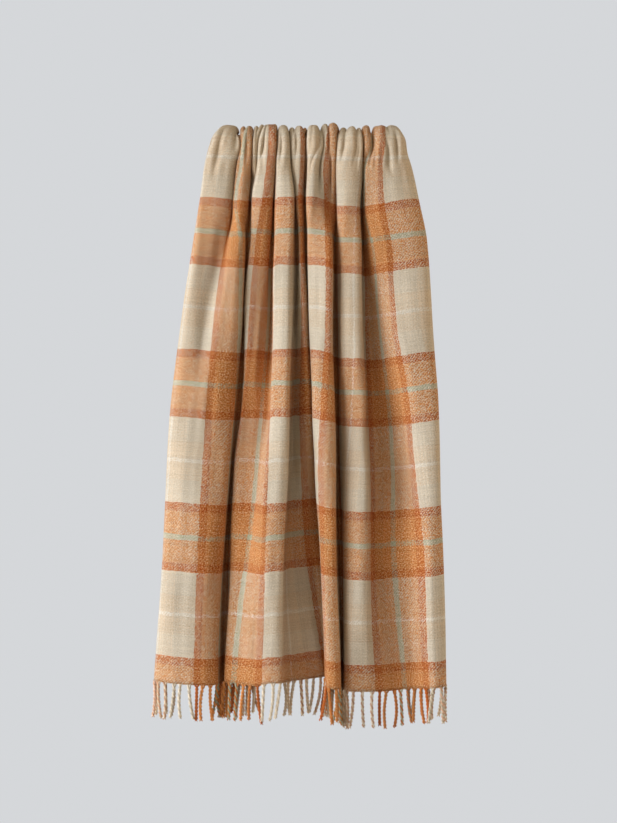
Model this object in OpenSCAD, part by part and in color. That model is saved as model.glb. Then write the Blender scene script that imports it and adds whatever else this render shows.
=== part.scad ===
// Woven check throw, gathered and hung over a round rung.
// X runs across the throw, -Y is the front, +Z is up. The origin is the centre of the rung.
// The cloth is one piece. It is modelled as the gather that lies over the rung, and the front
// and back drops, which bend away from it. Tassels are grouped by the warp stripe they end.

/* [Cloth] */
// Width of the flat cloth, mm
cloth_w = 1300; // [1250:10:1350]
// Thickness of the cloth, mm
cloth_t = 2.5; // [2:0.1:3]
// Height from the rung's centre down to the front hem, mm
front_len = 850; // [800:10:900]
// Height from the rung's centre down to the back hem, mm
back_len = 740; // [700:10:800]

/* [Rung and gather] */
// Diameter of the rung that the throw hangs on, mm
rung_d = 30; // [26:1:32]
// Width of the gathered cloth on the rung, mm
gather_w = 266; // [260:2:280]
// Thickness of the gathered layers over the rung, mm
gather_t = 13; // [12:0.5:14]

/* [Fringe] */
// Length of a tassel, mm
tassel_len = 60; // [40:5:80]
// Diameter of a twisted tassel, mm
tassel_d = 3; // [2.6:0.1:3.2]
// Tassels on an orange stripe
orange_tassels = 8; // [6:1:9]
// Tassels on a full cream stripe
cream_tassels = 10; // [8:1:10]
// Tassels on a cream stripe at either side edge
edge_tassels = 9; // [7:1:9]

/* [Node to draw] */

/* [Hidden] */

cream = [0.88, 0.82, 0.72];
orange = [0.80, 0.50, 0.26];
rung_r = rung_d / 2;
joint_gap = 0.4;
drop_top = -joint_gap;

// Warp stripes across the cloth: five orange stripes between six cream ones.
orange_w = 106;
cream_w = 134;
edge_w = (cloth_w - 5 * orange_w - 4 * cream_w) / 2;
repeat_w = orange_w + cream_w;

function stripe_start(n) =
  n == 1 ? 0
  : n % 2 == 0 ? edge_w + (n / 2 - 1) * repeat_w
  : edge_w + ((n - 1) / 2) * repeat_w - cream_w;
function stripe_width(n) =
  n == 1 || n == 11 ? edge_w
  : n % 2 == 0 ? orange_w
  : cream_w;
function stripe_tassels(n) =
  n == 1 || n == 11 ? edge_tassels
  : n % 2 == 0 ? orange_tassels
  : cream_tassels;

// Pleats. One row for each height, as a share of the drop from the rung to the hem.
// Each pleat is [left edge x, right edge x, how far its crest stands out from the rung's axis].
// The folds between pleats follow, each as the distance from the axis to the bottom of the fold.
front_rows = [
  [0.00,
    [[-140, -92, 27], [-79, -54, 27], [-43, -24, 26], [-13, 3, 26],
     [14, 41, 27], [52, 84, 27], [97, 142, 27]],
    [20, 20, 20, 20, 20, 20]],
  [0.08,
    [[-158, -93, 37], [-81, -55, 34], [-44, -24, 34], [-13, 0, 32],
     [10, 41, 36], [52, 85, 35], [97, 164, 36]],
    [20, 22, 22, 20, 20, 22]],
  [0.18,
    [[-176, -98, 50], [-87, -58, 46], [-48, -24, 46], [-14, -4, 40],
     [6, 38, 52], [49, 85, 48], [95, 186, 50]],
    [22, 26, 26, 20, 22, 24]],
  [0.48,
    [[-214, -114, 72], [-104, -62, 62], [-52, -30, 62], [-22, 0, 50],
     [10, 40, 74], [56, 92, 66], [102, 206, 66]],
    [22, 48, 40, 20, 22, 40]],
  [0.74,
    [[-230, -132, 78], [-121, -68, 66], [-55, -40, 70], [-27, 6, 54],
     [18, 46, 80], [60, 93, 68], [106, 215, 72]],
    [22, 57, 45, 20, 22, 56]],
  [1.00,
    [[-240, -133, 80], [-122, -74, 72], [-61, -44, 76], [-30, 15, 58],
     [27, 54, 84], [65, 98, 66], [113, 220, 76]],
    [22, 65, 53, 22, 24, 61]]
];
back_rows = [
  [0.00,
    [[-138, -100, 27], [-90, -60, 27], [-50, -18, 27], [-8, 22, 26],
     [32, 60, 27], [70, 96, 27], [106, 140, 27]],
    [19, 19, 19, 19, 19, 19]],
  [0.10,
    [[-152, -106, 38], [-95, -62, 36], [-52, -18, 38], [-8, 24, 36],
     [34, 62, 38], [72, 102, 36], [113, 156, 38]],
    [21, 21, 21, 21, 21, 21]],
  [0.30,
    [[-184, -126, 58], [-116, -74, 54], [-64, -20, 60], [-10, 34, 54],
     [44, 84, 60], [94, 128, 54], [138, 184, 58]],
    [22, 22, 22, 22, 22, 22]],
  [0.60,
    [[-202, -138, 70], [-126, -80, 62], [-68, -16, 72], [-4, 42, 62],
     [54, 96, 72], [106, 140, 60], [152, 204, 68]],
    [20, 24, 20, 22, 20, 24]],
  [1.00,
    [[-214, -146, 76], [-132, -82, 66], [-68, -10, 78], [4, 52, 66],
     [66, 108, 78], [120, 154, 64], [166, 218, 74]],
    [20, 28, 20, 24, 20, 28]]
];

// Where each pleat edge falls on the flat cloth at the hem, mm from the left side edge.
front_edges = [[50, 165], [390, 455], [475, 500], [530, 592], [845, 875], [1025, 1065], [1085, 1225]];
back_edges = [[60, 160], [270, 350], [460, 540], [650, 720], [830, 900], [1000, 1060], [1160, 1240]];

function mix(a, b, f) = a + (b - a) * f;

// How far a pleat's edge stands behind its crest, next to a fold of the stated depth.
function edge_step(crest, fold) = min(8, 0.4 * (crest - fold));

// Points of one row: the turned back left edge, the pleats and folds, the turned back right edge.
function row_points(row) =
  let (p = row[1], f = row[2], last = len(p) - 1, a = p[0], z = p[last])
  concat(
    [[a[0] + 18, max(a[2] - 20, f[0] - 1)], [a[0] + 4, max(a[2] - 18, f[0])]],
    [for (i = [0:last])
      each concat(
        [[p[i][0], p[i][2] - edge_step(p[i][2], f[max(i - 1, 0)])],
         [(p[i][0] + p[i][1]) / 2, p[i][2]],
         [p[i][1], p[i][2] - edge_step(p[i][2], f[min(i, last - 1)])]],
        i == last ? []
        : [[(p[i][1] + p[i + 1][0]) / 2 - 3, f[i]],
           [(p[i][1] + p[i + 1][0]) / 2 + 3, f[i]]]
      )],
    [[z[1] - 4, max(z[2] - 18, f[last - 1])], [z[1] - 18, max(z[2] - 20, f[last - 1] - 1)]]
  );

// Where the bottom of fold i falls on the flat cloth, between the pleat edges e, from how deep
// the fold's two sides are.
function fold_place(row, e, i) =
  let (p = row[1], left = p[i][2] - row[2][i], right = p[i + 1][2] - row[2][i])
  mix(e[i][1], e[i + 1][0], left / (left + right));

// The same points' places on the flat cloth.
function row_cloth(row, e) =
  let (last = len(e) - 1)
  concat(
    [0, e[0][0] / 2],
    [for (i = [0:last])
      each concat(
        [e[i][0], (e[i][0] + e[i][1]) / 2, e[i][1]],
        i == last ? []
        : [fold_place(row, e, i) - 5, fold_place(row, e, i) + 5]
      )],
    [(e[last][1] + cloth_w) / 2, cloth_w]
  );

function spline(a, b, c, d, f) =
  0.5 * (2 * b + (c - a) * f + (2 * a - 5 * b + 4 * c - d) * f * f
  + (3 * b - a - 3 * c + d) * f * f * f);

// A smooth line through a row's points, with four steps from each point to the next.
steps = 4;
function smooth_row(pts) =
  let (n = len(pts) - 1)
  [for (i = [0:n * steps])
    let (k = min(floor(i / steps), n - 1), f = i / steps - k)
    spline(pts[max(k - 1, 0)], pts[k], pts[k + 1], pts[min(k + 2, n)], f)];

// How fast a row's points move with the share of the drop.
function row_slope(rows, k) =
  let (
    n = len(rows) - 1,
    a = max(k - 1, 0),
    b = min(k + 1, n),
    p = row_points(rows[a]),
    q = row_points(rows[b])
  )
  [for (i = [0:len(p) - 1]) (q[i] - p[i]) / (rows[b][0] - rows[a][0])];

// The row at any share of the drop, on smooth curves through the stated rows.
function row_at(rows, share) =
  let (
    k = max([for (i = [0:len(rows) - 2]) if (rows[i][0] <= share) i]),
    h = rows[k + 1][0] - rows[k][0],
    f = (share - rows[k][0]) / h,
    a = row_points(rows[k]),
    b = row_points(rows[k + 1]),
    u = row_slope(rows, k),
    v = row_slope(rows, k + 1),
    e = f * f * (3 - 2 * f)
  )
  smooth_row([for (i = [0:len(a) - 1])
    mix(a[i], b[i], e) + h * f * (1 - f) * ((1 - f) * u[i] - f * v[i])]);

// Unit normal of a row's line at point i, towards the outside of the hanging throw.
function row_normal(line, i) =
  let (
    n = len(line) - 1,
    t = line[min(i + 1, n)] - line[max(i - 1, 0)],
    m = norm(t)
  )
  [-t[1] / m, t[0] / m];

shares = [0, 0.04, 0.08, 0.13, 0.18, 0.28, 0.38, 0.48, 0.61, 0.74, 0.87, 1];

// A pleated sheet hanging on one side of the rung: side is -1 in front and 1 behind.
module pleated_drop(rows, length, side) {
  lines = [for (v = shares) row_at(rows, v)];
  n = len(lines[0]);
  m = len(lines);
  points = [
    for (face = [1, -1], j = [0:m - 1], i = [0:n - 1])
      let (
        q = lines[j][i] + face * cloth_t / 2 * row_normal(lines[j], i),
        z = mix(drop_top, -length, shares[j])
      )
      [q[0], side * q[1], z]
  ];
  inner = n * m;
  grid = [
    for (j = [0:m - 2], i = [0:n - 2])
      let (a = j * n + i, b = a + 1, c = a + n, d = c + 1)
      each [
        [a, b, d], [a, d, c],
        [inner + a, inner + d, inner + b], [inner + a, inner + c, inner + d]
      ]
  ];
  ends = [
    for (i = [0:n - 2])
      let (a = i, b = i + 1, c = (m - 1) * n + i, d = c + 1)
      each [
        [a, inner + b, b], [a, inner + a, inner + b],
        [c, d, inner + d], [c, inner + d, inner + c]
      ]
  ];
  sides = [
    for (j = [0:m - 2])
      let (a = j * n, b = a + n, c = a + n - 1, d = c + n)
      each [
        [a, b, inner + b], [a, inner + b, inner + a],
        [c, inner + d, d], [c, inner + c, inner + d]
      ]
  ];
  faces = concat(grid, ends, sides);
  polyhedron(points, side > 0 ? [for (f = faces) [f[2], f[1], f[0]]] : faces, convexity = 20);
}

// Where the cloth's hem stands at a place on the flat cloth.
function hem_at(rows, edges, place) =
  let (
    row = rows[len(rows) - 1],
    cloth = row_cloth(row, edges),
    pts = row_points(row),
    n = len(pts) - 1,
    k = max([for (i = [0:n - 1]) if (cloth[i] <= place) i]),
    f = (place - cloth[k]) / (cloth[k + 1] - cloth[k])
  )
  spline(pts[max(k - 1, 0)], pts[k], pts[k + 1], pts[min(k + 2, n)], f);

// The tassels of one warp stripe.
module fringe(n, rows, edges, length, side) {
  count = stripe_tassels(n);
  for (i = [0:count - 1]) {
    place = stripe_start(n) + (i + 0.5) * stripe_width(n) / count;
    q = hem_at(rows, edges, place);
    translate([q[0], side * q[1], -length - tassel_len])
      cylinder(d = tassel_d, h = tassel_len, $fn = 6);
  }
}

module front_fringe(n) {
  color(n % 2 == 0 ? orange : cream)
    fringe(n, front_rows, front_edges, front_len, -1);
}

module back_fringe(n) {
  color(n % 2 == 0 ? orange : cream)
    fringe(n, back_rows, back_edges, back_len, 1);
}

// Crests of the gather along the rung, and the share of its thickness that each one has.
gather_crests = [
  [-112, 0.95], [-84, 0.85], [-60, 1], [-38, 0.85], [-16, 0.95],
  [6, 1], [30, 0.9], [52, 1], [74, 0.85], [94, 0.95], [114, 1]
];

// Outline of the crests, with a groove half way between each two.
function gather_line() =
  let (n = len(gather_crests) - 1, half = gather_w / 2)
  concat(
    [[rung_r + 0.45 * gather_t, -half]],
    [for (i = [0:n])
      let (
        c = gather_crests[i],
        h = rung_r + c[1] * gather_t,
        l = i == 0 ? -half : (c[0] + gather_crests[i - 1][0]) / 2,
        r = i == n ? half : (c[0] + gather_crests[i + 1][0]) / 2
      )
      each concat(
        [[h - 1.5, mix(c[0], l, 0.6)], [h, mix(c[0], l, 0.2)],
         [h, mix(c[0], r, 0.2)], [h - 1.5, mix(c[0], r, 0.6)]],
        i == n ? [] : [[rung_r + 0.6 * gather_t, r]]
      )],
    [[rung_r + 0.45 * gather_t, half]]
  );

// The gathered cloth over the rung, turned about the rung's axis.
module rung_fold() {
  color(cream)
    rotate([0, 90, 0])
      rotate([0, 0, 90])
        rotate_extrude(angle = 180, $fn = 96)
          polygon(concat([[rung_r, -gather_w / 2]], gather_line(), [[rung_r, gather_w / 2]]));
}

module front_drop() {
  color(cream)
    pleated_drop(front_rows, front_len, -1);
}

module back_drop() {
  color(cream)
    pleated_drop(back_rows, back_len, 1);
}

rung_fold();
front_drop();
back_drop();
front_fringe(1);  // front_fringe_01
front_fringe(2);  // front_fringe_02
front_fringe(3);  // front_fringe_03
front_fringe(4);  // front_fringe_04
front_fringe(5);  // front_fringe_05
front_fringe(6);  // front_fringe_06
front_fringe(7);  // front_fringe_07
front_fringe(8);  // front_fringe_08
front_fringe(9);  // front_fringe_09
front_fringe(10);  // front_fringe_10
front_fringe(11);  // front_fringe_11
back_fringe(1);  // back_fringe_01
back_fringe(2);  // back_fringe_02
back_fringe(3);  // back_fringe_03
back_fringe(4);  // back_fringe_04
back_fringe(5);  // back_fringe_05
back_fringe(6);  // back_fringe_06
back_fringe(7);  // back_fringe_07
back_fringe(8);  // back_fringe_08
back_fringe(9);  // back_fringe_09
back_fringe(10);  // back_fringe_10
back_fringe(11);  // back_fringe_11
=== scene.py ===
"""Woven check throw, gathered over a round rung: the visual model on the CAD frame.

The cloth is one surface. A place on it is (s, t) in mm: s runs across from the left side edge,
t runs up from the front hem, over the rung and down to the back hem. Its shape is given by a
few cross-sections, at stated heights, which a smooth surface joins. Each section is a list of
points (s, x, d): where on the cloth, how far across, and how far out from the rung's axis.
"""

import math
import random

import bpy
import numpy as np
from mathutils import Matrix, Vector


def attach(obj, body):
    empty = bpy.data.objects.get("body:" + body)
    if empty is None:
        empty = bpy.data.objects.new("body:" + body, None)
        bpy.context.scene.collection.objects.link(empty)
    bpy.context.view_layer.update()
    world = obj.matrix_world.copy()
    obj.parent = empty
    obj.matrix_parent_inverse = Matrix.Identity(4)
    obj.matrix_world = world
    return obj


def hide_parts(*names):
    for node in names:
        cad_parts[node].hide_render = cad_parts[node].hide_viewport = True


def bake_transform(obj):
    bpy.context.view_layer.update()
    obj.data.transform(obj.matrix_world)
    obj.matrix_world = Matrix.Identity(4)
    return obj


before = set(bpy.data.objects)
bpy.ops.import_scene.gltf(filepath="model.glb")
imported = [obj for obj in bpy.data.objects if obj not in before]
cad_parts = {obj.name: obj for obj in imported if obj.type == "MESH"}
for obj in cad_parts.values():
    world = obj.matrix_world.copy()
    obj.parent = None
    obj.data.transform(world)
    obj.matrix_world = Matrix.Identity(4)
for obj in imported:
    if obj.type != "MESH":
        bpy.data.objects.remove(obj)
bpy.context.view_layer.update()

MM = 0.001

# ---------------------------------------------------------------- the flat cloth, mm

CLOTH_W = 1300
FRONT_DROP = 850  # rung axis down to the front hem
BACK_DROP = 740
ARCH = 36  # cloth from the rung's side to its top
FRONT_CLOTH = FRONT_DROP + ARCH
BACK_CLOTH = BACK_DROP + ARCH
CLOTH_L = FRONT_CLOTH + BACK_CLOTH
CLOTH_T = 2.0

# Check: five orange stripes between six cream ones, and the same along the cloth.
ORANGE_W, CREAM_W = 106, 134
EDGE_W = (CLOTH_W - 5 * ORANGE_W - 4 * CREAM_W) / 2
HEM_W = 41  # the part of an orange band left at each hem

# ---------------------------------------------------------------- cross-sections

# Over the top of the rung. d is the distance out from the rung's axis.
TOP = [
    (0, -118, 18), (18, -128, 20), (36, -134, 24), (48, -131, 28), (60, -124, 29), (72, -116, 28),
    (80, -111, 25), (84, -109.5, 22), (90, -109, 20), (110, -108.5, 18), (130, -108, 18),
    (145, -107.5, 21), (152, -105, 26), (158, -101, 28), (163, -98.5, 24), (166, -98, 22),
    (169, -97, 25), (175, -93, 28), (182, -89, 27), (187, -87, 24), (192, -86.5, 20),
    (215, -86.5, 17), (250, -86, 17), (275, -85.5, 20), (284, -84, 26), (292, -80.5, 28),
    (299, -78, 25), (303, -77, 22), (308, -76, 26), (315, -72.5, 31), (322, -69.5, 28),
    (327, -68.5, 24), (332, -68, 26), (342, -66, 29), (357, -62, 30), (366, -56, 30),
    (374, -51, 31), (379, -49, 29), (383, -48, 24), (390, -48, 19), (420, -47.5, 17),
    (450, -47, 18), (462, -46.5, 22), (470, -44, 27), (479, -38, 29), (488, -32.5, 27),
    (493, -31, 23), (498, -30.5, 20), (520, -30, 18), (545, -29.5, 20), (555, -28, 24),
    (563, -24.5, 26), (570, -21, 24), (574, -20, 21), (580, -19.5, 23), (588, -17, 27),
    (597, -13, 28), (604, -9, 27), (609, -7.5, 24), (614, -7, 22), (620, -5.5, 25), (625, -3, 26),
    (630, -1, 23), (636, -0.5, 19), (690, 0, 17), (745, 0.5, 18), (760, 1, 23), (770, 4, 28),
    (782, 11, 29), (792, 17, 27), (797, 19, 23), (803, 20, 20), (812, 21, 22), (820, 24, 28),
    (830, 29, 32), (836, 32, 29), (840, 33, 25), (844, 34, 27), (852, 37, 32), (862, 42, 33),
    (872, 47, 30), (878, 50, 25), (884, 51, 20), (910, 51.5, 17), (932, 52, 20), (940, 54, 24),
    (948, 59, 26), (955, 63, 23), (960, 64, 21), (965, 65.5, 24), (974, 70, 27), (984, 75, 26),
    (990, 77, 23), (994, 78, 21), (999, 79, 23), (1007, 82.5, 26), (1013, 85, 23),
    (1018, 85.5, 20), (1050, 86, 17), (1080, 86.5, 19), (1090, 88, 25), (1100, 93, 29),
    (1112, 98, 28), (1118, 100, 23), (1124, 101, 18), (1134, 103, 18), (1146, 104, 22),
    (1154, 107, 27), (1168, 115, 28), (1182, 122, 28), (1188, 125, 26), (1193, 126, 24),
    (1199, 128, 27), (1210, 134, 29), (1222, 140, 27), (1230, 144, 23), (1238, 145, 20),
    (1250, 141, 18), (1275, 132, 17.5), (1300, 118, 17.5),
]

# The front drop, each section with its depth below the rung's axis.
FRONT = [
    (0, [
        (0, -136, 19), (20, -146, 21), (40, -154, 26), (52, -150, 30), (66, -140, 31),
        (80, -128, 31), (88, -119, 28), (92, -116, 26), (96, -113, 27), (103, -109, 28),
        (109, -107, 24), (116, -107, 20), (132, -107, 18), (148, -107, 20), (158, -105, 25),
        (166, -102, 29), (172, -99, 29), (177, -97.5, 27), (182, -95, 29), (188, -90, 29),
        (194, -88, 24), (202, -87, 19), (240, -87, 17), (275, -86, 18), (290, -86, 23),
        (300, -84, 27), (307, -80, 27), (312, -78, 22), (318, -78, 18), (324, -78, 19),
        (330, -77, 25), (336, -73, 30), (344, -68, 31), (350, -65, 30), (357, -62, 31),
        (366, -54, 31), (372, -49, 27), (377, -49, 20), (400, -49, 17), (440, -48, 18),
        (460, -47, 22), (470, -45, 28), (480, -39, 31), (490, -32, 30), (497, -28, 26),
        (502, -27, 21), (520, -27, 18), (545, -26.5, 18), (562, -26, 22), (572, -23, 27),
        (580, -19, 28), (585, -17, 25), (590, -15, 25), (597, -11, 29), (604, -6, 28),
        (609, -4, 22), (616, -3, 18), (680, -2, 16), (745, -1, 18), (765, 0, 25), (775, 3, 30),
        (788, 10, 33), (800, 19, 31), (808, 25, 27), (813, 26, 22), (820, 25, 19), (828, 26, 22),
        (836, 29, 27), (842, 33, 26), (847, 34.5, 23), (851, 36, 25), (858, 39, 29), (866, 44, 28),
        (872, 46, 22), (878, 46, 18), (900, 46, 17), (930, 47, 18), (944, 47, 22), (951, 50, 27),
        (957, 55, 28), (962, 58.5, 25), (967, 61, 27), (976, 68, 31), (986, 76, 31), (994, 81, 29),
        (999, 83, 28), (1004, 86, 28), (1010, 88, 24), (1018, 88, 19), (1050, 88, 17),
        (1085, 89, 18), (1105, 91, 24), (1115, 94, 28), (1124, 99, 28), (1130, 102, 23),
        (1138, 104, 20), (1146, 105, 20), (1154, 107, 23), (1164, 111, 29), (1176, 118, 32),
        (1190, 128, 32), (1200, 134, 30), (1205, 137, 29), (1212, 142, 30), (1222, 149, 29),
        (1232, 155, 25), (1240, 157, 21), (1250, 152, 19), (1275, 142, 18), (1300, 126, 18)]),
    (36, [
        (0, -142, 22), (22, -154, 24), (44, -162, 29), (56, -158, 34), (72, -146, 36),
        (88, -132, 36), (100, -121, 33), (107, -115, 28), (113, -113, 23), (122, -112, 19),
        (132, -112, 18), (144, -112, 22), (156, -111, 28), (166, -107, 32), (180, -99, 33),
        (190, -93, 31), (196, -90, 26), (204, -89, 20), (214, -88, 17), (240, -87, 17),
        (262, -88, 19), (285, -88, 23), (298, -86, 27), (308, -82, 27), (314, -80, 22),
        (320, -80.5, 18), (325, -80, 18), (330, -80, 24), (336, -77, 31), (348, -70, 34),
        (357, -65, 35), (366, -56, 34), (373, -51, 29), (378, -50, 22), (395, -50.5, 17),
        (420, -50, 17), (445, -50, 20), (462, -49, 27), (472, -46, 33), (484, -39, 36),
        (496, -31, 35), (504, -27, 30), (510, -26, 24), (525, -26, 18), (545, -26, 17),
        (560, -26, 20), (572, -24, 26), (582, -20, 29), (590, -16, 30), (597, -12, 31),
        (604, -8, 29), (609, -5, 24), (616, -4, 18), (650, -3, 16), (720, -1, 16), (755, 0, 19),
        (778, 1, 27), (788, 4, 34), (800, 10, 37), (812, 17, 33), (818, 19, 27), (826, 20, 26),
        (837, 25, 30), (846, 32, 30), (852, 36, 26), (855, 37, 23), (858, 38, 24), (864, 40, 28),
        (870, 43, 28), (876, 46, 24), (882, 46, 18), (892, 46, 17), (920, 46, 18), (940, 46, 21),
        (952, 47, 28), (960, 50, 34), (972, 57, 37), (986, 67, 39), (1000, 77, 38), (1012, 84, 34),
        (1018, 87, 28), (1024, 88, 21), (1040, 88, 17), (1070, 88, 16), (1100, 88, 18),
        (1120, 89, 24), (1132, 92, 31), (1145, 98, 36), (1162, 107, 38), (1183, 118, 39),
        (1200, 132, 40), (1220, 147, 38), (1238, 158, 33), (1248, 165, 27), (1254, 163, 23),
        (1276, 148, 21), (1300, 130, 20)]),
    (91, [
        (0, -150, 24), (24, -163, 27), (46, -169, 33), (58, -164, 39), (74, -152, 42),
        (92, -137, 41), (105, -126, 37), (113, -120, 31), (119, -118, 25), (128, -117, 19),
        (136, -116, 18), (146, -117, 22), (160, -116, 31), (170, -112, 37), (185, -104, 40),
        (198, -97, 37), (205, -94, 31), (212, -93, 24), (222, -92, 18), (230, -90, 16),
        (245, -88, 22), (251, -86, 24), (257, -85, 22), (270, -82, 16), (277, -79, 15),
        (290, -74, 15), (298, -72, 17), (318, -84, 25), (328, -87, 31), (336, -85, 36),
        (350, -76, 40), (357, -72, 41), (368, -63, 40), (378, -56, 35), (384, -55, 28),
        (405, -54, 19), (418, -52, 17), (432, -51, 20), (455, -50, 31), (465, -48, 38),
        (478, -42, 43), (491, -33, 46), (502, -24.5, 46), (511, -20.5, 36), (525, -20.5, 24),
        (540, -20, 18), (552, -19, 17), (572, -19, 25), (588, -18, 33), (598, -14, 37),
        (607, -9, 35), (612, -7, 28), (640, -6, 17), (650, -3, 15), (660, 0, 17), (680, 3, 25),
        (686, 5, 26), (692, 7, 24), (715, 10, 17), (724, 12, 15), (735, 12, 18), (775, 0, 34),
        (790, -1, 40), (798, 1, 45), (808, 8, 47), (817, 14, 43), (828, 21, 40), (839, 27, 36),
        (849, 33, 31), (857, 37, 28), (868, 42, 26), (875, 46, 22), (885, 46.5, 17), (895, 47, 17),
        (910, 47, 21), (950, 48, 32), (964, 49, 38), (974, 53, 43), (988, 62, 46), (1003, 72, 46),
        (1016, 80, 42), (1023, 83, 35), (1048, 84, 22), (1058, 86, 17), (1095, 88, 17),
        (1110, 88, 20), (1125, 89, 26), (1140, 93, 34), (1160, 105, 42), (1183, 121, 48),
        (1200, 136, 50), (1220, 153, 49), (1238, 168, 43), (1248, 176, 35), (1254, 174, 29),
        (1276, 154, 26), (1300, 134, 25)]),
    (154, [
        (0, -158, 28), (24, -172, 31), (44, -179, 41), (56, -173, 47), (72, -161, 48),
        (90, -148, 44), (104, -139, 40), (116, -131, 35), (123, -127, 32), (132, -123, 36),
        (141, -120, 44), (152, -115, 49), (166, -106, 52), (177, -99.5, 50), (185, -97, 40),
        (196, -97, 26), (204, -97, 19), (222, -94, 22), (228, -92, 23), (234, -90, 25),
        (250, -87, 17), (257, -84, 15), (274, -75, 15), (283, -72, 18), (320, -85, 28),
        (333, -88, 34), (341, -87, 39), (357, -81, 42), (372, -72, 42), (386, -63, 37),
        (393, -60, 30), (404, -66, 24), (416, -60, 18), (430, -57, 16), (440, -51, 20),
        (453, -49, 34), (464, -47.5, 44), (476, -42, 48), (490, -33, 51), (501, -25, 54),
        (509, -22.5, 46), (518, -22.5, 35), (535, -23, 24), (545, -21, 18), (555, -19, 18),
        (575, -16, 28), (589, -13.5, 37), (600, -10, 40), (609, -6, 37), (615, -4.5, 30),
        (640, -5, 18), (650, -2, 15), (660, 1, 18), (682, 3, 28), (688, 5, 30), (694, 7, 28),
        (720, 11, 18), (730, 14, 15), (740, 15, 18), (785, 3, 38), (799, 1, 45), (806, 2.5, 48),
        (816, 9, 51), (828, 19, 54), (838, 28, 57), (848, 35, 57), (857, 38.5, 46), (885, 41, 22),
        (895, 43, 17), (908, 46, 21), (950, 50, 36), (965, 52, 42), (975, 54, 46), (985, 56, 48),
        (996, 64, 51), (1010, 74, 53), (1021, 82, 54), (1029, 86, 47), (1036, 86, 38),
        (1050, 85, 26), (1060, 86, 18), (1076, 88, 15), (1094, 91, 21), (1111, 95, 33),
        (1129, 103, 41), (1148, 113, 47), (1166, 123, 51), (1183, 134, 54), (1198, 147, 57),
        (1214, 163, 58), (1228, 176, 56), (1237, 184, 51), (1245, 188, 42), (1252, 187, 34),
        (1273, 162, 30), (1300, 138, 28)]),
    (265, [
        (0, -172, 34), (22, -188, 37), (40, -198, 47), (52, -193, 54), (70, -183, 57),
        (84, -170, 52), (94, -158, 46), (104, -152, 47), (118, -144, 54), (135, -132, 61),
        (150, -120, 61), (163, -110, 58), (172, -104, 52), (179, -101.5, 42), (196, -101, 23),
        (203, -99, 17), (210, -97, 20), (226, -96, 28), (232, -93, 30), (238, -91, 27),
        (256, -87, 17), (263, -84, 15), (282, -72, 15), (291, -68, 19), (330, -94, 32),
        (342, -98, 38), (350, -96, 42), (362, -88, 45), (385, -76, 43), (398, -70, 32),
        (412, -63, 24), (424, -58, 19), (434, -55, 20), (446, -51, 36), (458, -50, 50),
        (466, -48, 56), (475, -43.5, 60), (486, -36, 64), (497, -27.5, 67), (505, -23.5, 59),
        (513, -22.5, 48), (525, -23, 34), (548, -22, 22), (555, -20, 20), (563, -18, 22),
        (577, -18, 29), (590, -14, 40), (601, -8.5, 46), (611, -3, 47), (618, 1, 39), (624, 3, 27),
        (645, 5, 19), (652, 8, 16), (660, 10, 19), (682, 10, 34), (689, 12, 36), (696, 14, 33),
        (726, 18, 18), (736, 21, 15), (746, 23, 19), (790, 5, 44), (804, 4, 51), (813, 9, 57),
        (825, 17, 61), (837, 26, 66), (847, 33.5, 67), (855, 36.5, 58), (863, 38, 47),
        (895, 39.5, 24), (905, 42, 18), (918, 47, 22), (962, 51, 40), (978, 52, 46), (986, 57, 51),
        (996, 63, 55), (1007, 72, 58), (1018, 80, 60), (1027, 86, 57), (1036, 87, 45),
        (1056, 86, 26), (1068, 87, 18), (1082, 91, 15), (1099, 98, 17), (1116, 106, 24),
        (1134, 114, 34), (1152, 123, 45), (1170, 134, 54), (1184, 143, 59), (1198, 156, 63),
        (1213, 171, 66), (1226, 184, 66), (1235, 192, 61), (1244, 196, 51), (1252, 194, 42),
        (1272, 168, 36), (1300, 140, 34)]),
    (406, [
        (0, -184, 38), (22, -203, 42), (40, -213, 51), (54, -206, 60), (84, -182, 67),
        (117, -158, 68), (140, -138, 64), (154, -122, 57), (163, -114, 47), (198, -111, 21),
        (206, -108, 17), (214, -106, 20), (230, -104, 30), (236, -101, 32), (242, -98, 29),
        (262, -93, 18), (270, -89, 15), (292, -74, 15), (302, -70, 20), (340, -101, 35),
        (355, -104, 35), (365, -101, 38), (385, -88, 38), (411, -71, 32), (424, -62, 29),
        (436, -58, 33), (449, -56, 45), (463, -55, 57), (471, -54, 62), (481, -48, 68),
        (491, -38, 73), (501, -29.5, 75), (509, -26, 64), (518, -26, 51), (558, -26, 27),
        (570, -24, 22), (581, -20, 26), (597, -14, 34), (605, -9, 40), (615, 0, 42), (620, 5, 37),
        (628, 7, 29), (645, 9, 20), (652, 12, 16), (660, 14, 20), (684, 14, 38), (691, 16, 40),
        (698, 18, 37), (728, 22, 19), (738, 25, 15), (748, 27, 20), (800, 11, 50), (815, 9.5, 57),
        (824, 13.5, 65), (837, 21, 70), (850, 31, 75), (860, 36.5, 75), (868, 39.5, 65),
        (877, 41, 53), (905, 42, 27), (915, 45, 18), (928, 50, 23), (975, 55, 44), (990, 58, 48),
        (1000, 62, 55), (1012, 71, 61), (1024, 80, 66), (1035, 88, 68), (1043, 92, 62),
        (1052, 93, 51), (1066, 94, 34), (1078, 98, 26), (1092, 105, 23), (1108, 114, 24),
        (1124, 124, 26), (1140, 134, 32), (1156, 145, 42), (1170, 154, 53), (1184, 164, 63),
        (1197, 175, 71), (1209, 187, 73), (1220, 198, 73), (1231, 206, 64), (1243, 203, 51),
        (1268, 174, 37), (1300, 145, 25)]),
    (517, [
        (0, -190, 40), (24, -210, 44), (42, -220, 54), (56, -213, 63), (86, -189, 71),
        (117, -165, 73), (140, -144, 68), (155, -130, 60), (163, -125, 50), (200, -122, 22),
        (208, -119, 17), (216, -116, 21), (234, -114, 32), (240, -111, 34), (246, -108, 31),
        (268, -102, 18), (276, -98, 15), (300, -80, 15), (310, -76, 21), (352, -112, 38),
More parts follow.
